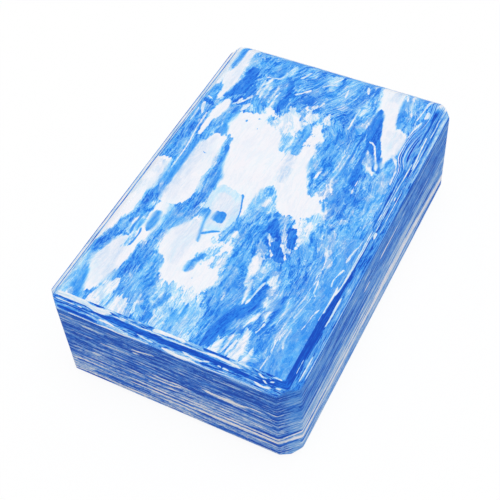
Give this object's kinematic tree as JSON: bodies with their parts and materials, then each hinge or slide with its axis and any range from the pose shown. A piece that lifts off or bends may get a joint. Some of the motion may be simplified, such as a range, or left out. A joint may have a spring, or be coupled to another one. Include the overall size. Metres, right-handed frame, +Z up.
{
  "type": "foam yoga block",
  "caption": "Rectangular block of firm marbled foam with every edge cut off flat, laid on its broad face: a prop to lean on, kneel on or reach down to.",
  "frame": {"origin": "centre of the base, on the surface that the block lies on", "axes": "+X across the width, +Y along the length, +Z up through the thickness"},
  "size_m": [0.15, 0.23, 0.07],
  "materials": {
    "marbled_foam": "matte closed-cell EVA foam, marbled in blues and white"
  },
  "bodies": {
    "root": {"foam_block": "marbled_foam"}
  },
  "joints": []
}
